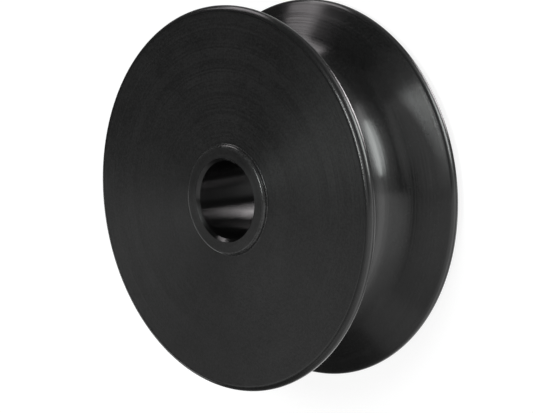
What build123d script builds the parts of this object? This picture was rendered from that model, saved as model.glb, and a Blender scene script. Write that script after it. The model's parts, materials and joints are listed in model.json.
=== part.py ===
"""Wire rope sheave, turned from one blank of black cast nylon.

The sheave is a single solid of revolution about +Z.  Its origin lies on the
bore axis, midway between the two flange faces, in the plane that the rope runs
in.  All sizes are in millimetres.
"""

from math import isclose, radians, sin, tan
import os

from build123d import *

# ---------------------------------------------------------------- dimensions

# Flanges
OUTER_DIAMETER = 125.0  # over the rounded rims
RIM_WIDTH = 42.0  # from one flange face to the other
CREST_RADIUS = 2.0  # full round on each rim, tangent to face and flank

# Rope groove
ROPE_DIAMETER = 24.0  # largest rope that seats in the groove
ROPE_CLEARANCE = 2.0  # how much wider than the rope the root is cut
FLANK_ANGLE = 30.0  # how far each flank leans off the rope plane, in degrees

# Hub
HUB_DIAMETER = 36.0  # raised boss round the bore, one on each side
HUB_PROJECTION = 1.5  # how far each boss stands proud of its flange face
HUB_EDGE_RADIUS = 1.0  # round on the outer edge of each boss
HUB_ROOT_RADIUS = 0.3  # left by the tool's nose where boss meets flange

# Bore
PIN_DIAMETER = 25.0  # axle pin that the sheave turns on
RUNNING_CLEARANCE = 0.3  # on the diameter, as a plain nylon bore needs
BORE_CHAMFER = 1.0  # lead-in at both ends of the bore

# ------------------------------------------------------------ derived values

half_rim = RIM_WIDTH / 2
half_hub = half_rim + HUB_PROJECTION
hub_radius = HUB_DIAMETER / 2
bore_radius = (PIN_DIAMETER + RUNNING_CLEARANCE) / 2
groove_radius = (ROPE_DIAMETER + ROPE_CLEARANCE) / 2

# Face and flank are first drawn as straight lines that run on until they meet
# in a sharp crest, and the two flanks until they meet in a sharp root.  The
# rounds are cut at those corners, so they stay tangent at any flank angle.
flank = radians(FLANK_ANGLE)
sharp_crest = OUTER_DIAMETER / 2 - CREST_RADIUS + CREST_RADIUS / tan(flank / 2)
sharp_root = sharp_crest - half_rim / tan(flank)
tread_radius = sharp_root + groove_radius / sin(flank) - groove_radius

# -------------------------------------------------------------------- sheave


def corners(section, radius, height):
    """Corners of a section at a radius, this far above and below the rope plane."""
    return [
        corner
        for corner in section.vertices()
        if isclose(corner.X, radius) and isclose(abs(corner.Y), height, abs_tol=1e-9)
    ]


with BuildPart() as sheave:
    # The turned section: X is the radius and Y the height above the rope plane.
    # One half is drawn and mirrored, because both sides of the sheave are alike.
    with BuildSketch(Plane.XZ) as section:
        with BuildLine():
            Polyline(
                (bore_radius, 0),
                (bore_radius, half_hub),
                (hub_radius, half_hub),
                (hub_radius, half_rim),
                (sharp_crest, half_rim),
                (sharp_root, 0),
            )
            mirror(about=Plane.XZ)
        make_face()
        fillet(corners(section, sharp_root, 0), radius=groove_radius)
        fillet(corners(section, sharp_crest, half_rim), radius=CREST_RADIUS)
        fillet(corners(section, hub_radius, half_hub), radius=HUB_EDGE_RADIUS)
        fillet(corners(section, hub_radius, half_rim), radius=HUB_ROOT_RADIUS)
        chamfer(corners(section, bore_radius, half_hub), length=BORE_CHAMFER)
    revolve(axis=Axis.Z)

sheave.part.label = "sheave"

os.makedirs("parts", exist_ok=True)
export_step(sheave.part, "parts/sheave.step")

print(f"sheave: {OUTER_DIAMETER:g} over the rims, {2 * half_hub:g} over the hub, tread {2 * tread_radius:.2f}")
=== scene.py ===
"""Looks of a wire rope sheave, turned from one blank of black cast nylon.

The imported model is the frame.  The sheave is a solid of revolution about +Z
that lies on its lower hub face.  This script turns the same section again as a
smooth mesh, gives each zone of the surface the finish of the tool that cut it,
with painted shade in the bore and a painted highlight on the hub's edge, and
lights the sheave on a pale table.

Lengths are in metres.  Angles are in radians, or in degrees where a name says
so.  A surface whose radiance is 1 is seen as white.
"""

import json
import logging
import math
from collections.abc import Mapping, Sequence
from dataclasses import dataclass, fields, replace
from enum import Enum
from typing import ClassVar, NamedTuple

import bpy
from mathutils import Matrix, Vector


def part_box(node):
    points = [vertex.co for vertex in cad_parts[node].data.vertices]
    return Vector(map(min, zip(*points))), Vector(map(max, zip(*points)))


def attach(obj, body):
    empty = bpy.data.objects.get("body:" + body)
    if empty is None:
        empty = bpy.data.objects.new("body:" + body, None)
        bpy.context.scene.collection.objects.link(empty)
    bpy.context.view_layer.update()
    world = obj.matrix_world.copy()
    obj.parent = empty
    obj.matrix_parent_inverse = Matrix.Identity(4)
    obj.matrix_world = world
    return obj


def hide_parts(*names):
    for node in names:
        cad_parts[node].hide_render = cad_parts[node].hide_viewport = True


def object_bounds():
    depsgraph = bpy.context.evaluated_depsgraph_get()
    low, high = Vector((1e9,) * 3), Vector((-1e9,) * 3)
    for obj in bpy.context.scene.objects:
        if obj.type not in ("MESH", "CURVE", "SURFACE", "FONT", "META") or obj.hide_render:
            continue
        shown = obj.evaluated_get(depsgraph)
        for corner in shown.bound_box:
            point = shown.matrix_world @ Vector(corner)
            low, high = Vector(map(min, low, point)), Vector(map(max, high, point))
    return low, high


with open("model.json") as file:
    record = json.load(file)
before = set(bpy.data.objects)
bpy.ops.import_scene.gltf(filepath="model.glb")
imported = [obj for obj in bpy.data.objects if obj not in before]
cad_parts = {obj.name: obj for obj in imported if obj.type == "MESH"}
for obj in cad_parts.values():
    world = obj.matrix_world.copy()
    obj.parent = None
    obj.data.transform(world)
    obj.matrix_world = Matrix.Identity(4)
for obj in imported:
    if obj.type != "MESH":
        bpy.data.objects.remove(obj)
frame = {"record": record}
cad_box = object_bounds()

MM = 0.001
MICRON = 0.000001

NOISE_SPREAD = (0.3, 0.7)  # nearly all values of a noise lie between these
NOISE_MIDDLE = 0.5
WHITE = (1.0, 1.0, 1.0, 1.0)

Place = tuple[float, float, float]
Colour = tuple[float, float, float]
Socket = bpy.types.NodeSocket
Value = float | int | bool | Sequence[float] | Socket | bpy.types.Material
Inputs = Mapping[str | int, Value]

log = logging.getLogger("sheave")


# --------------------------------------------------------------------- nodes


class Graph:
    """Adds nodes to a tree and joins them, so that a formula takes few lines."""

    SPACING = 180  # editor units from one node to the next
    ROWS = 12  # nodes in a column before the next one starts

    def __init__(self, tree: bpy.types.NodeTree) -> None:
        """Keep the tree that the nodes go into."""
        self.tree = tree

    def node(self, kind: str, inputs: Inputs | None = None, **settings: object) -> bpy.types.Node:
        """Add one node.

        Args:
            kind: Type name of the node.
            inputs: Value or socket for each input that isn't left alone, by name or number.
            settings: Properties of the node, set before its inputs.

        Returns:
            The new node.
        """
        column, row = divmod(len(self.tree.nodes), self.ROWS)
        node = self.tree.nodes.new(kind)
        node.location = (column * self.SPACING, -row * self.SPACING)
        for name, value in settings.items():
            setattr(node, name, value)
        self.feed_all(node, inputs or {})
        return node

    def feed_all(self, node: bpy.types.Node, inputs: Inputs) -> None:
        """Feed several inputs of a node, given by name or number."""
        for name, value in inputs.items():
            self.feed(node.inputs[name], value)

    def feed(self, socket: Socket, value: Value) -> None:
        """Link a socket into an input, or set the input to a plain value.

        Args:
            socket: The input.
            value: The socket that feeds it, or its new value.
        """
        if isinstance(value, Socket):
            self.tree.links.new(value, socket)
        else:
            socket.default_value = value

    def math(self, operation: str, *values: Value) -> Socket:
        """Add a Math node and return its result."""
        return self.node("ShaderNodeMath", dict(enumerate(values)), operation=operation).outputs["Value"]

    def vector(self, x: Value, y: Value, z: Value) -> Socket:
        """Add a Combine XYZ node and return its vector."""
        return self.node("ShaderNodeCombineXYZ", {"X": x, "Y": y, "Z": z}).outputs["Vector"]

    def vector_math(self, operation: str, inputs: Inputs, result: str = "Vector") -> Socket:
        """Add a Vector Math node and return one of its results."""
        return self.node("ShaderNodeVectorMath", inputs, operation=operation).outputs[result]

    def ramp(self, value: Value, start: Value, end: Value, low: Value = 0.0, high: Value = 1.0) -> Socket:
        """Add a smooth step from low to high, taken while the value goes from start to end."""
        inputs = {"Value": value, "From Min": start, "From Max": end, "To Min": low, "To Max": high}
        return self.node("ShaderNodeMapRange", inputs, interpolation_type="SMOOTHSTEP").outputs["Result"]

    def noise(self, place: Value, size: Value, detail: float, roughness: float = 0.5) -> Socket:
        """Add a noise texture.

        Args:
            place: Where it is read.
            size: How far apart its blotches lie.
            detail: How many finer noises lie on it.
            roughness: Strength of each finer noise against the one before.

        Returns:
            The noise, from 0 to 1.
        """
        scale = self.math("DIVIDE", 1.0, size)
        inputs = {"Vector": place, "Scale": scale, "Detail": detail, "Roughness": roughness}
        return self.node("ShaderNodeTexNoise", inputs).outputs["Fac"]

    def turned(self, place: Value) -> tuple[Socket, Socket, Socket]:
        """Read a place as a turner does.

        Args:
            place: Vector socket, with Z along the bore axis.

        Returns:
            The place's arm from the axis as a vector, its radius and its height.
        """
        parts = self.node("ShaderNodeSeparateXYZ", {"Vector": place}).outputs
        arm = self.vector(parts["X"], parts["Y"], 0.0)
        return arm, self.vector_math("LENGTH", {0: arm}, "Value"), parts["Z"]


def new_group(
    name: str, kind: str, inputs: Mapping[str, str], outputs: Mapping[str, str]
) -> bpy.types.NodeTree:
    """Make a node group with named sockets.

    Args:
        name: Name of the group.
        kind: Type of the tree.
        inputs: Socket type of each input, by name.
        outputs: Socket type of each output, by name.

    Returns:
        The group, still without nodes.
    """
    tree = bpy.data.node_groups.new(name, kind)
    for side, sockets in (("INPUT", inputs), ("OUTPUT", outputs)):
        for socket_name, socket_type in sockets.items():
            tree.interface.new_socket(socket_name, in_out=side, socket_type=socket_type)
    return tree


# ------------------------------------------------------------------- section


@dataclass(frozen=True)
class TurnedSection:
    """Sizes of the section that is turned about the bore axis.

    One half is given, because both sides of the sheave are alike.  Flange face
    and groove flank run on to a sharp crest, and the two flanks to a sharp
    root, and the rounds are cut at those corners.
    """

    outer_radius: float
    half_hub: float  # half the width over the hub faces
    bore_radius: float
    bore_chamfer: float
    root_radius: float  # of the groove
    half_rim: float = 21.0 * MM  # half the width over the flanges
    crest_radius: float = 2.0 * MM
    flank_angle: float = math.radians(30.0)  # off the plane of the rope
    hub_radius: float = 18.0 * MM
    hub_edge_radius: float = 1.0 * MM
    hub_root_radius: float = 0.3 * MM  # where the hub stands on the flange
    edge_break: float = 0.06 * MM  # on both edges of the bore's chamfer

    @classmethod
    def from_frame(cls) -> "TurnedSection":
        """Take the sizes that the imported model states.

        Returns:
            The section, with the drawing's own values for the other sizes.
        """
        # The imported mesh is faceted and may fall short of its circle, so the shortest side counts.
        low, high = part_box("sheave")
        dims = {mount["name"]: mount["dims"] for mount in frame["record"]["mounts"]}
        return cls(
            outer_radius=min(high.x, high.y, -low.x, -low.y),
            half_hub=high.z,
            bore_radius=dims["bore"]["r_mm"] * MM,
            bore_chamfer=high.z - dims["bore"]["length_mm"] * MM / 2,
            root_radius=dims["rope_groove"]["r_mm"] * MM,
        )

    def sizes(self) -> dict[str, float]:
        """Give each size under the plain name that the lathe's inputs use."""
        names = [field.name for field in fields(self)]
        return {name.replace("_", " ").capitalize(): getattr(self, name) for name in names}


class Zone(Enum):
    """Part of the surface that one tool cuts in one setting."""

    FLANGE = "Flange finish"
    RIM = "Rim finish"
    HUB_EDGE = "Hub edge finish"
    GROOVE = "Groove finish"
    BORE = "Bore finish"


@dataclass(frozen=True)
class Facets:
    """How finely the lathe divides each round of the section, and the turn."""

    edge_break: int = 3
    hub_edge: int = 10
    hub_root: int = 5
    crest: int = 40
    root: int = 48
    turn: int = 360


class Lathe:
    """Geometry Nodes tree that turns a section with rounded corners into a closed mesh."""

    def __init__(self, section: TurnedSection, facets: Facets) -> None:
        """Build the tree with an input for each size and for each zone's finish.

        Args:
            section: What is turned.
            facets: How finely.
        """
        inputs = {name: "NodeSocketFloat" for name in section.sizes()}
        inputs |= {zone.value: "NodeSocketMaterial" for zone in Zone}
        self.section = section
        self.facets = facets
        self.tree = new_group("Turned solid", "GeometryNodeTree", inputs, {"Solid": "NodeSocketGeometry"})
        self.graph = Graph(self.tree)
        self.given = self.graph.node("NodeGroupInput").outputs
        self.graph.node("NodeGroupOutput", {"Solid": self._finish(self._turn(self._profile()))})

    def _by_corner(self, step: Value, values: Sequence[Value], data_type: str) -> Socket:
        """Give each corner of a half section its own value.

        Args:
            step: Number of the corner, counted from the bore outwards.
            values: One value for each number.
            data_type: Type of the values.

        Returns:
            The value of that corner.
        """
        node = self.graph.node("GeometryNodeIndexSwitch", data_type=data_type)
        while len(node.index_switch_items) < len(values):
            node.index_switch_items.new()
        self.graph.feed(node.inputs["Index"], step)
        for number, value in enumerate(values):
            self.graph.feed(node.inputs[str(number)], value)
        return node.outputs["Output"]

    def _profile(self) -> Socket:
        """Draw the closed section.

        Returns:
            A closed curve, with the radius along X and the height along Y.
        """
        graph, given, facets = self.graph, self.given, self.facets
        bore, chamfer, edge_break = given["Bore radius"], given["Bore chamfer"], given["Edge break"]
        half_hub, half_rim = given["Half hub"], given["Half rim"]
        hub, crest, flank = given["Hub radius"], given["Crest radius"], given["Flank angle"]

        # A sharp crest lies this far beyond the centre of its round.
        reach = graph.math("DIVIDE", crest, graph.math("TANGENT", graph.math("DIVIDE", flank, 2.0)))
        sharp_crest = graph.math("ADD", graph.math("SUBTRACT", given["Outer radius"], crest), reach)
        depth = graph.math("DIVIDE", half_rim, graph.math("TANGENT", flank))
        sharp_root = graph.math("SUBTRACT", sharp_crest, depth)

        # Radius, height, round and facets of each corner, from the bore outwards.
        corners = (
            (bore, graph.math("SUBTRACT", half_hub, chamfer), edge_break, facets.edge_break),
            (graph.math("ADD", bore, chamfer), half_hub, edge_break, facets.edge_break),
            (hub, half_hub, given["Hub edge radius"], facets.hub_edge),
            (hub, half_rim, given["Hub root radius"], facets.hub_root),
            (sharp_crest, half_rim, crest, facets.crest),
            (sharp_root, 0.0, given["Root radius"], facets.root),
        )
        radii, heights, rounds, counts = zip(*corners)

        # The section runs out to the root, which both halves share, and back on the other side.
        root = float(len(corners) - 1)
        to_root = graph.math("SUBTRACT", root, graph.node("GeometryNodeInputIndex").outputs["Index"])
        step = graph.math("SUBTRACT", root, graph.math("ABSOLUTE", to_root))
        side = graph.math("SIGN", to_root)
        height = graph.math("MULTIPLY", self._by_corner(step, heights, "FLOAT"), side)
        place = graph.vector(self._by_corner(step, radii, "FLOAT"), height, 0.0)
        line = graph.node("GeometryNodeMeshLine", {"Count": 2 * len(corners) - 1}).outputs["Mesh"]
        curve = graph.node("GeometryNodeMeshToCurve", {"Mesh": line}).outputs["Curve"]
        closing = {"Geometry": curve, "Cyclic": True}
        ring = graph.node("GeometryNodeSetSplineCyclic", closing).outputs["Geometry"]
        placing = {"Geometry": ring, "Position": place}
        rounding = {
            "Curve": graph.node("GeometryNodeSetPosition", placing).outputs["Geometry"],
            "Count": self._by_corner(step, counts, "INT"),
            "Radius": self._by_corner(step, rounds, "FLOAT"),
            "Limit Radius": False,
        }
        return graph.node("GeometryNodeFilletCurve", rounding, mode="POLY").outputs["Curve"]

    def _turn(self, profile: Socket) -> Socket:
        """Carry the section once round the bore axis.

        Args:
            profile: The closed section.

        Returns:
            The turned solid, as one smooth mesh.
        """
        graph, guide = self.graph, self.given["Bore radius"]
        size = {"Resolution": self.facets.turn, "Radius": guide}
        circle = graph.node("GeometryNodeCurvePrimitiveCircle", size).outputs["Curve"]
        path = graph.node("GeometryNodeSetCurveNormal", {"Curve": circle}, mode="Z_UP").outputs["Curve"]
        inward = graph.vector(graph.math("MULTIPLY", guide, -1.0), 0.0, 0.0)
        moving = {"Geometry": profile, "Offset": inward}
        moved = graph.node("GeometryNodeSetPosition", moving).outputs["Geometry"]
        sweep = {"Curve": path, "Profile Curve": moved}
        mesh = graph.node("GeometryNodeCurveToMesh", sweep).outputs["Mesh"]
        return graph.node("GeometryNodeSetShadeSmooth", {"Geometry": mesh}).outputs["Geometry"]

    def _zones(self) -> dict[Zone, Value]:
        """Say which faces belong to which zone.

        Returns:
            The choice of each zone.  A later one takes faces from those before it.
        """
        graph, given = self.graph, self.given
        place = graph.node("GeometryNodeInputPosition").outputs["Position"]
        _arm, radius, height = graph.turned(place)
        chamfer_end = graph.math("ADD", given["Bore radius"], given["Bore chamfer"])
        crest_start = graph.math("SUBTRACT", given["Outer radius"], given["Crest radius"])
        hub_inside = graph.math("SUBTRACT", given["Hub radius"], given["Hub edge radius"])
        hub_outside = graph.math("ADD", given["Hub radius"], given["Hub root radius"])
        beyond_hub_face = graph.math("GREATER_THAN", radius, hub_inside)
        before_flange = graph.math("LESS_THAN", radius, hub_outside)
        # A crest's round meets the flank this many of its radii below the flange face.
        drop = graph.math("ADD", graph.math("COSINE", given["Flank angle"]), 1.0)
        crest_depth = graph.math("MULTIPLY", given["Crest radius"], drop)
        crest_foot = graph.math("SUBTRACT", given["Half rim"], crest_depth)
        return {
            Zone.FLANGE: True,
            Zone.RIM: graph.math("GREATER_THAN", radius, crest_start),
            Zone.HUB_EDGE: graph.math("MULTIPLY", beyond_hub_face, before_flange),
            Zone.GROOVE: graph.math("LESS_THAN", graph.math("ABSOLUTE", height), crest_foot),
            Zone.BORE: graph.math("LESS_THAN", radius, chamfer_end),
        }

    def _finish(self, solid: Socket) -> Socket:
        """Give each face the finish of its zone.

        Args:
            solid: The bare solid.

        Returns:
            The finished solid.
        """
        graph = self.graph
        real = graph.node("GeometryNodeRealizeInstances", {"Geometry": solid}).outputs["Geometry"]
        for zone, selection in self._zones().items():
            inputs = {"Geometry": real, "Selection": selection, "Material": self.given[zone.value]}
            real = graph.node("GeometryNodeSetMaterial", inputs).outputs["Geometry"]
        return real

    def turn(self, name: str, finishes: Mapping[Zone, bpy.types.Material]) -> bpy.types.Object:
        """Run the tree once and keep its result as a plain mesh.

        Args:
            name: Name of the new piece.
            finishes: Material of each zone.

        Returns:
            The piece, with its place in its mesh and no modifier left on it.
        """
        values = self.section.sizes() | {zone.value: finishes[zone] for zone in Zone}
        blank = bpy.data.objects.new(name, bpy.data.meshes.new(name))
        bpy.context.collection.objects.link(blank)
        nodes = blank.modifiers.new("Lathe", "NODES")
        nodes.node_group = self.tree
        for socket in self.tree.interface.items_tree:
            if socket.in_out == "INPUT":
                nodes[socket.identifier] = values[socket.name]
        blank.modifiers.new("Normals", "WEIGHTED_NORMAL").keep_sharp = False
        depsgraph = bpy.context.evaluated_depsgraph_get()
        mesh = bpy.data.meshes.new_from_object(
            blank.evaluated_get(depsgraph), preserve_all_data_layers=True, depsgraph=depsgraph
        )
        blank.modifiers.clear()
        blank.data = mesh
        mesh.name = name
        return blank


# ------------------------------------------------------------------ finishes


class TurnedSurface:
    """Shader node groups that every finish of the sheave shares."""

    RING_DETAIL = 0.0  # rings of one spacing, with no finer ones among them
    PATCH_DETAIL = 1.0
    GRAIN_DETAIL = 2.0
    GRAIN_ROUGHNESS = 0.7
    FAINTEST_RINGS = 0.4  # where the rings fade, against 1 where they are clear

    def __init__(self) -> None:
        """Build the groups once."""
        self.marks = self._tool_marks()
        self.grain = self._cast_grain()

    def _tool_marks(self) -> bpy.types.NodeTree:
        """Make rings that follow the turned surface.

        The noise is read at a point's radius and height alone, so it is the
        same all round the axis.  A slow noise in space lets the rings come and
        go, as they do where the tool rubbed.  A feed mark is a shallow sawtooth
        whose long side leans outwards, so the normal leans with it.

        Returns:
            The group.  It gives the rings, from 0 to 1, and the leaning normal.
        """
        sizes = ("Spacing", "Fading length", "Setting", "Lean")
        inputs = {name: "NodeSocketFloat" for name in sizes}
        outputs = {"Marks": "NodeSocketFloat", "Normal": "NodeSocketVector"}
        tree = new_group("Tool marks", "ShaderNodeTree", inputs, outputs)
        graph = Graph(tree)
        given = graph.node("NodeGroupInput").outputs
        place = graph.node("ShaderNodeTexCoord").outputs["Object"]
        arm, radius, height = graph.turned(place)

        column = graph.math("DIVIDE", radius, given["Spacing"])
        row = graph.math("DIVIDE", height, given["Spacing"])
        rings = graph.noise(graph.vector(column, row, given["Setting"]), 1.0, self.RING_DETAIL)
        patches = graph.noise(place, given["Fading length"], self.PATCH_DETAIL)
        strength = graph.ramp(patches, *NOISE_SPREAD, self.FAINTEST_RINGS, 1.0)
        swing = graph.math("MULTIPLY", graph.math("SUBTRACT", rings, NOISE_MIDDLE), strength)

        outwards = graph.vector_math("NORMALIZE", {0: arm})
        leaning = graph.vector_math("SCALE", {0: outwards, "Scale": given["Lean"]})
        normal = graph.node("ShaderNodeNewGeometry").outputs["Normal"]
        tilted = graph.vector_math("ADD", {0: normal, 1: leaning})
        results = {
            "Marks": graph.math("ADD", swing, NOISE_MIDDLE),
            "Normal": graph.vector_math("NORMALIZE", {0: tilted}),
        }
        graph.node("NodeGroupOutput", results)
        return tree

    def _cast_grain(self) -> bpy.types.NodeTree:
        """Make the fine grain of cast nylon, and the slow mottling under it.

        Returns:
            The group.  Both its results go from 0 to 1.
        """
        sizes = {"Grain": "Grain size", "Mottle": "Mottle size"}
        inputs = {size: "NodeSocketFloat" for size in sizes.values()}
        outputs = {name: "NodeSocketFloat" for name in sizes}
        tree = new_group("Cast grain", "ShaderNodeTree", inputs, outputs)
        graph = Graph(tree)
        given = graph.node("NodeGroupInput").outputs
        place = graph.node("ShaderNodeTexCoord").outputs["Object"]
        results = {
            name: graph.noise(place, given[size], self.GRAIN_DETAIL, self.GRAIN_ROUGHNESS)
            for name, size in sizes.items()
        }
        graph.node("NodeGroupOutput", results)
        return tree


@dataclass(frozen=True)
class NylonFinish:
    """Black cast nylon as one tool leaves it.

    The marks run round the axis, so the surface is smooth along them and rough
    across them, and highlights are drawn out along the section.  Greys darker or
    lighter than the nylon's own are painted shade or a painted highlight.
    """

    zone: Zone
    roughness: float
    anisotropy: float
    mark_spacing: float
    mark_depth: float
    mark_shine: float  # how far the roughness swings to either side among the marks
    setting: float  # each setting of the lathe leaves rings of its own
    grain_depth: float
    dark: float  # grey where grain, mottle and marks are darkest
    light: float  # grey where they are lightest
    lean: float = 0.0  # how far the feed marks lean outwards, as a tangent
    fading_length: float = 30.0 * MM
    grain_size: float = 0.65 * MM
    mottle_size: float = 12.0 * MM

    MOTTLE_SHARE: ClassVar[float] = 0.20
    GRAIN_SHARE: ClassVar[float] = 0.62
    MARKS_SHARE: ClassVar[float] = 0.18
    TONE_SPREAD: ClassVar[tuple[float, float]] = (0.35, 0.65)  # of the three noises once mixed
    ACROSS_MARKS: ClassVar[float] = 0.25  # of a full turn, from the way the marks run
    REFRACTIVE_INDEX: ClassVar[float] = 1.53

    def material(self, surface: TurnedSurface) -> bpy.types.Material:
        """Build the material.

        Args:
            surface: The shared node groups.

        Returns:
            The material of this zone.
        """
        material = bpy.data.materials.new("nylon_" + self.zone.name.lower())
        material.use_nodes = True
        graph = Graph(material.node_tree)
        mark_sizes = {
            "Spacing": self.mark_spacing,
            "Fading length": self.fading_length,
            "Setting": self.setting,
            "Lean": self.lean,
        }
        grain_sizes = {"Grain size": self.grain_size, "Mottle size": self.mottle_size}
        marks = graph.node("ShaderNodeGroup", mark_sizes, node_tree=surface.marks).outputs
        grain = graph.node("ShaderNodeGroup", grain_sizes, node_tree=surface.grain).outputs

        cloudy = graph.math("MULTIPLY", grain["Mottle"], self.MOTTLE_SHARE)
        speckled = graph.math("MULTIPLY_ADD", grain["Grain"], self.GRAIN_SHARE, cloudy)
        ringed = graph.math("MULTIPLY_ADD", marks["Marks"], self.MARKS_SHARE, speckled)
        tone = graph.ramp(ringed, *self.TONE_SPREAD, self.dark, self.light)
        glossiest, dullest = self.roughness - self.mark_shine, self.roughness + self.mark_shine
        ridges = graph.math("MULTIPLY", marks["Marks"], self.mark_depth)
        pores = graph.math("MULTIPLY", grain["Grain"], self.grain_depth)
        relief = {"Height": graph.math("ADD", ridges, pores), "Distance": 1.0, "Normal": marks["Normal"]}
        around = graph.node("ShaderNodeTangent", direction_type="RADIAL", axis="Z")
        look = {
            "Base Color": graph.vector(tone, tone, tone),
            "Roughness": graph.ramp(marks["Marks"], *NOISE_SPREAD, glossiest, dullest),
            "Normal": graph.node("ShaderNodeBump", relief).outputs["Normal"],
            "Tangent": around.outputs["Tangent"],
            "Anisotropic": self.anisotropy,
            "Anisotropic Rotation": self.ACROSS_MARKS,
            "IOR": self.REFRACTIVE_INDEX,
        }
        graph.feed_all(material.node_tree.nodes["Principled BSDF"], look)
        return material


# -------------------------------------------------------------------- sheave


@dataclass(frozen=True)
class Sheave:
    """The turned sheave: one piece, with a finish for each zone."""

    section: TurnedSection
    facets: Facets
    finishes: tuple[NylonFinish, ...]
    name: str = "turned_sheave"

    def build(self, surface: TurnedSurface) -> bpy.types.Object:
        """Turn the sheave and put it in the frame.

        Args:
            surface: The node groups that its finishes share.

        Returns:
            The finished piece, riding on the root body.
        """
        materials = {finish.zone: finish.material(surface) for finish in self.finishes}
        piece = Lathe(self.section, self.facets).turn(self.name, materials)
        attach(piece, "root")
        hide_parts("sheave")
        return piece


# -------------------------------------------------------------------- studio


@dataclass(frozen=True)
class Table:
    """Pale table that the sheave lies on.

    The eye sees a plain white glow and, near the sheave, a share of what the
    lamps light, which brings in the sheave's shadow.
    """

    radius: float = 0.9
    clear_radius: float = 0.35  # where the last of the shading has faded to white
    shaded_radius: float = 0.14  # up to here it shows the full shadow
    segments: int = 96
    albedo: float = 0.8  # as it bounces light on to the sheave
    shade: float = 0.3  # share of the lamps' light in what the eye sees
    open_light: float = 0.5  # how bright the lamps alone make a white table clear of the sheave

    def build(self) -> bpy.types.Object:
        """Lay the table under the sheave.

        Returns:
            The table, which isn't part of the object.
        """
        height = cad_box[0].z
        turns = [math.tau * number / self.segments for number in range(self.segments)]
        corners = [(self.radius * math.cos(turn), self.radius * math.sin(turn), height) for turn in turns]
        mesh = bpy.data.meshes.new("table")
        mesh.from_pydata(corners, [], [tuple(range(self.segments))])
        mesh.materials.append(self._material())
        table = bpy.data.objects.new("table", mesh)
        bpy.context.collection.objects.link(table)
        table.visible_glossy = False  # the nylon doesn't mirror it
        table.visible_shadow = False  # the lamps that hang below its level shine through it
        return table

    def _material(self) -> bpy.types.Material:
        """Make a matt surface that the eye sees as white, less the sheave's shadow.

        Returns:
            The material.
        """
        material = bpy.data.materials.new("pale_table")
        material.use_nodes = True
        graph = Graph(material.node_tree)
        material.node_tree.nodes.remove(material.node_tree.nodes["Principled BSDF"])
        _arm, distance, _height = graph.turned(graph.node("ShaderNodeTexCoord").outputs["Object"])
        share = graph.ramp(distance, self.shaded_radius, self.clear_radius, self.shade, 0.0)
        lit = graph.node("ShaderNodeBsdfDiffuse", {"Color": WHITE}).outputs["BSDF"]
        # Where the share is full, glow and open light add up to white.
        strength = (1.0 - self.shade * self.open_light) / (1.0 - self.shade)
        glow = graph.node("ShaderNodeEmission", {"Strength": strength}).outputs["Emission"]
        seen = graph.node("ShaderNodeMixShader", {"Fac": share, 1: glow, 2: lit}).outputs["Shader"]
        tone = (self.albedo, self.albedo, self.albedo, 1.0)
        matt = graph.node("ShaderNodeBsdfDiffuse", {"Color": tone}).outputs["BSDF"]
        path = graph.node("ShaderNodeLightPath").outputs
        through = graph.math("MAXIMUM", path["Is Glossy Ray"], path["Is Transmission Ray"])
        sight = graph.math("MAXIMUM", path["Is Camera Ray"], through)
        shader = graph.node("ShaderNodeMixShader", {"Fac": sight, 1: matt, 2: seen}).outputs["Shader"]
        graph.feed(material.node_tree.nodes["Material Output"].inputs["Surface"], shader)
        return material


class LampShape(Enum):
    """Outline of a lamp's face, and how much of its width times its height it fills."""

    RECTANGLE = 1.0
    ELLIPSE = math.pi / 4


@dataclass(frozen=True)
class SoftBox:
    """Lamp with a broad flat face that is turned to the sheave."""

    name: str
    place: Place
    along: Place  # direction of its width, squared up to its face
    width: float
    height: float
    radiance: float
    shape: LampShape = LampShape.RECTANGLE
    colour: Colour = (1.0, 1.0, 1.0)

    def build(self) -> bpy.types.Object:
        """Hang the lamp.

        Returns:
            The lamp, with its face square to the line from the sheave's middle.
        """
        data = bpy.data.lights.new(self.name, "AREA")
        data.shape = self.shape.name
        data.size = self.width
        data.size_y = self.height
        area = self.width * self.height * self.shape.value
        data.energy = self.radiance * math.pi * area
        data.color = self.colour
        lamp = bpy.data.objects.new(self.name, data)
        bpy.context.collection.objects.link(lamp)
        back = Vector(self.place).normalized()
        up = back.cross(Vector(self.along)).normalized()
        turn = Matrix((up.cross(back), up, back)).transposed().to_4x4()
        lamp.matrix_world = Matrix.Translation(self.place) @ turn
        return lamp


class Axis(Enum):
    """Axis of the frame, by the name of its part of a vector."""

    X = "X"
    Y = "Y"
    Z = "Z"


class Step(NamedTuple):
    """Smooth step of the room's light, by how far a direction points along one axis."""

    axis: Axis
    dark: float  # up to here there is no light
    full: float  # from here on there is all of it


@dataclass(frozen=True)
class Glow:
    """Light from part of the room, as strong as its steps multiplied together allow."""

    strength: float
    steps: tuple[Step, ...] = ()


@dataclass(frozen=True)
class Room:
    """What surrounds the set: white for the eye, and dim glows for the sheave.

    Black nylon that mirrored the white would look grey, so reflections see
    the glows.
    """

    glows: tuple[Glow, ...]

    def build(self) -> bpy.types.World:
        """Make the world.

        Returns:
            The world, set as the scene's own.
        """
        world = bpy.data.worlds.new("room")
        world.use_nodes = True
        bpy.context.scene.world = world
        graph = Graph(world.node_tree)
        direction = graph.node("ShaderNodeTexCoord").outputs["Generated"]
        parts = graph.node("ShaderNodeSeparateXYZ", {"Vector": direction}).outputs
        total: Value = 0.0
        for glow in self.glows:
            light: Value = glow.strength
            for step in glow.steps:
                share = graph.ramp(parts[step.axis.value], step.dark, step.full)
                light = graph.math("MULTIPLY", light, share)
            total = graph.math("ADD", total, light)
        path = graph.node("ShaderNodeLightPath").outputs
        sight = graph.math("MAXIMUM", path["Is Camera Ray"], path["Is Transmission Ray"])
        seen = {"Factor": sight, "A": total, "B": 1.0}
        strength = graph.node("ShaderNodeMix", seen, data_type="FLOAT").outputs["Result"]
        graph.feed_all(world.node_tree.nodes["Background"], {"Color": WHITE, "Strength": strength})
        return world


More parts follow.
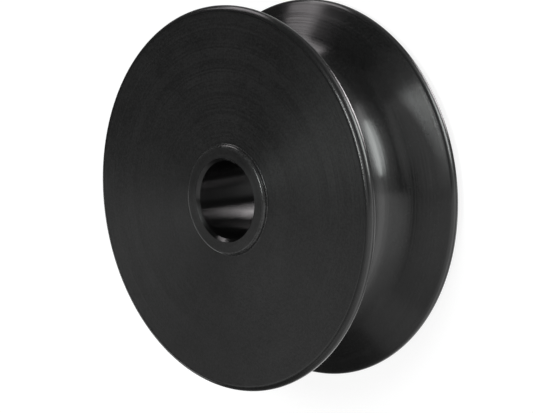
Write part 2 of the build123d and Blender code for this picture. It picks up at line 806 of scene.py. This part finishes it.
@dataclass(frozen=True)
class Viewpoint:
    """Camera that looks down on the sheave, rolled so that the bore axis lies across the picture."""

    azimuth_deg: float = 5.8246
    elevation_deg: float = 43.9065
    roll_deg: float = 98.3681
    distance: float = 880.03 * MM
    aim: Place = (-1.824 * MM, -4.130 * MM, 2.321 * MM)
    nearest: float = 10.0 * MM  # nothing closer than this is seen
    lens_mm: float = 181.67
    sensor_mm: float = 36.0  # width of the picture behind the lens

    def build(self) -> bpy.types.Object:
        """Set up the camera.

        Returns:
            The camera, set as the scene's own.
        """
        data = bpy.data.cameras.new("camera")
        data.lens = self.lens_mm
        data.sensor_width = self.sensor_mm
        data.clip_start = self.nearest
        camera = bpy.data.objects.new("camera", data)
        bpy.context.collection.objects.link(camera)
        turn, rise = math.radians(self.azimuth_deg), math.radians(self.elevation_deg)
        back = Vector((math.cos(turn) * math.cos(rise), math.sin(turn) * math.cos(rise), math.sin(rise)))
        upright = (-back).to_track_quat("-Z", "Y").to_matrix().to_4x4()
        roll = Matrix.Rotation(-math.radians(self.roll_deg), 4, "Z")
        camera.matrix_world = Matrix.Translation(Vector(self.aim) + back * self.distance) @ upright @ roll
        bpy.context.scene.camera = camera
        return camera


# ----------------------------------------------------------------- this sheave


FLANGE_FINISH = NylonFinish(
    Zone.FLANGE,
    roughness=0.35,
    anisotropy=0.7,
    mark_spacing=0.36 * MM,
    mark_depth=16.0 * MICRON,
    mark_shine=0.03,
    setting=1.7,
    grain_depth=12.0 * MICRON,
    dark=0.004,
    light=0.018,
    lean=0.075,
)
RIM_FINISH = NylonFinish(
    Zone.RIM,
    roughness=0.22,
    anisotropy=0.5,
    mark_spacing=0.3 * MM,
    mark_depth=2.0 * MICRON,
    mark_shine=0.02,
    setting=3.9,
    grain_depth=1.0 * MICRON,
    dark=0.009,
    light=0.015,
)
# The hub's edge round, wall and root fillet get greys from 0.01 to 0.05, lighter than the rest of the
# nylon: a painted highlight, with the grain and marks varying it as elsewhere.
HUB_EDGE_FINISH_AND_HIGHLIGHT = replace(
    RIM_FINISH, zone=Zone.HUB_EDGE, grain_depth=3.0 * MICRON, dark=0.01, light=0.05
)
GROOVE_FINISH = NylonFinish(
    Zone.GROOVE,
    roughness=0.22,
    anisotropy=0.85,
    mark_spacing=0.5 * MM,
    mark_depth=25.0 * MICRON,
    mark_shine=0.04,
    setting=5.3,
    grain_depth=2.0 * MICRON,
    dark=0.006,
    light=0.016,
)
# The bore and its chamfers get greys from 0.002 to 0.004, darker than the rest of the nylon: painted
# shade inside the bore, with the grain and marks varying it as elsewhere.
BORE_FINISH_AND_SHADE = NylonFinish(
    Zone.BORE,
    roughness=0.22,
    anisotropy=0.9,
    mark_spacing=0.8 * MM,
    mark_depth=3.0 * MICRON,
    mark_shine=0.02,
    setting=9.1,
    grain_depth=1.0 * MICRON,
    dark=0.002,
    light=0.004,
)
FINISHES = (FLANGE_FINISH, RIM_FINISH, HUB_EDGE_FINISH_AND_HIGHLIGHT, GROOVE_FINISH, BORE_FINISH_AND_SHADE)

ALONG_X = (1.0, 0.0, 0.0)
ALONG_Y = (0.0, 1.0, 0.0)
NEAR_Y = (-0.18, 0.98, 0.0)  # ten degrees off Y

GREENISH = (0.95, 1.0, 0.98)
ROSY = (1.0, 0.95, 0.97)

# Name, place, direction of the width, width, height and radiance.
LAMPS = (
    SoftBox("front", (0.75, 0.385, -0.15), ALONG_Y, 0.63, 0.43, 8.2, LampShape.ELLIPSE, GREENISH),
    SoftBox("beneath", (0.235, 0.375, -0.75), ALONG_X, 0.38, 0.33, 10.9, colour=ROSY),
    SoftBox("beneath_wide", (0.14, -0.14, -0.75), ALONG_X, 0.4, 0.22, 1.3),
    SoftBox("low", (0.62, 0.75, -0.375), ALONG_X, 0.25, 0.7, 1.6),
    SoftBox("side", (-0.64, 0.71, 0.36), ALONG_X, 0.28, 0.24, 2.8, LampShape.ELLIPSE, ROSY),
    SoftBox("side_low", (-0.40, 0.75, 0.11), ALONG_X, 0.30, 0.40, 3.2, colour=ROSY),
    SoftBox("overhead", (0.075, 0.18, 0.75), NEAR_Y, 0.34, 0.11, 20.8, LampShape.ELLIPSE, GREENISH),
    SoftBox("overhead_wide", (0.30, 0.20, 0.75), ALONG_X, 0.6, 0.6, 0.75, LampShape.ELLIPSE),
    SoftBox("overhead_side", (0.15, 0.52, 0.75), ALONG_X, 0.4, 0.3, 0.3),
    SoftBox("overhead_low", (-0.55, -0.28, 0.73), ALONG_X, 0.44, 0.42, 0.65),
    SoftBox("foot", (-0.14, -0.75, 0.60), ALONG_X, 0.38, 0.28, 0.3),
    SoftBox("left", (-0.75, -0.25, 0.125), ALONG_Y, 0.5, 0.25, 1.3),
)

UNDERNEATH = Step(Axis.Z, -0.45, -0.62)
NOT_UNDERNEATH = Step(Axis.Z, -0.62, -0.45)
UNDER_HORIZON = Step(Axis.Z, 0.0, -0.2)

GLOWS = (
    Glow(0.05),  # all round
    Glow(0.14, (UNDER_HORIZON, NOT_UNDERNEATH)),
    Glow(0.38, (UNDER_HORIZON, NOT_UNDERNEATH, Step(Axis.X, -0.5, 1.0))),
    Glow(0.5, (UNDERNEATH, Step(Axis.X, -0.1, -0.4))),
    Glow(0.7, (UNDERNEATH, Step(Axis.Y, -0.1, -0.25), Step(Axis.X, 0.3, 0.05))),
    Glow(0.55, (Step(Axis.Y, -0.09, -0.12), NOT_UNDERNEATH, Step(Axis.X, -0.6, 0.3))),
    Glow(0.40, (Step(Axis.X, 0.2, 0.9), Step(Axis.Z, 0.6, 0.3), NOT_UNDERNEATH)),
    Glow(0.40, (Step(Axis.X, 0.0, 0.5), Step(Axis.Z, 0.05, -0.15), Step(Axis.Y, 0.15, -0.1))),
    Glow(0.50, (Step(Axis.X, 0.2, 0.9), Step(Axis.Z, 0.3, 0.6), Step(Axis.Y, 0.0, -0.4))),
)


# ---------------------------------------------------------------------- main


def main() -> None:
    logging.basicConfig(level=logging.INFO, format="%(name)s: %(message)s")
    bpy.context.scene.view_settings.view_transform = "Standard"
    Viewpoint().build()
    Room(GLOWS).build()
    Table().build()
    for lamp in LAMPS:
        lamp.build()
    log.info("studio with %d lamps", len(LAMPS))
    section = TurnedSection.from_frame()
    piece = Sheave(section, Facets(), FINISHES).build(TurnedSurface())
    log.info("%s: %d faces", piece.name, len(piece.data.polygons))


if __name__ == "__main__":
    main()
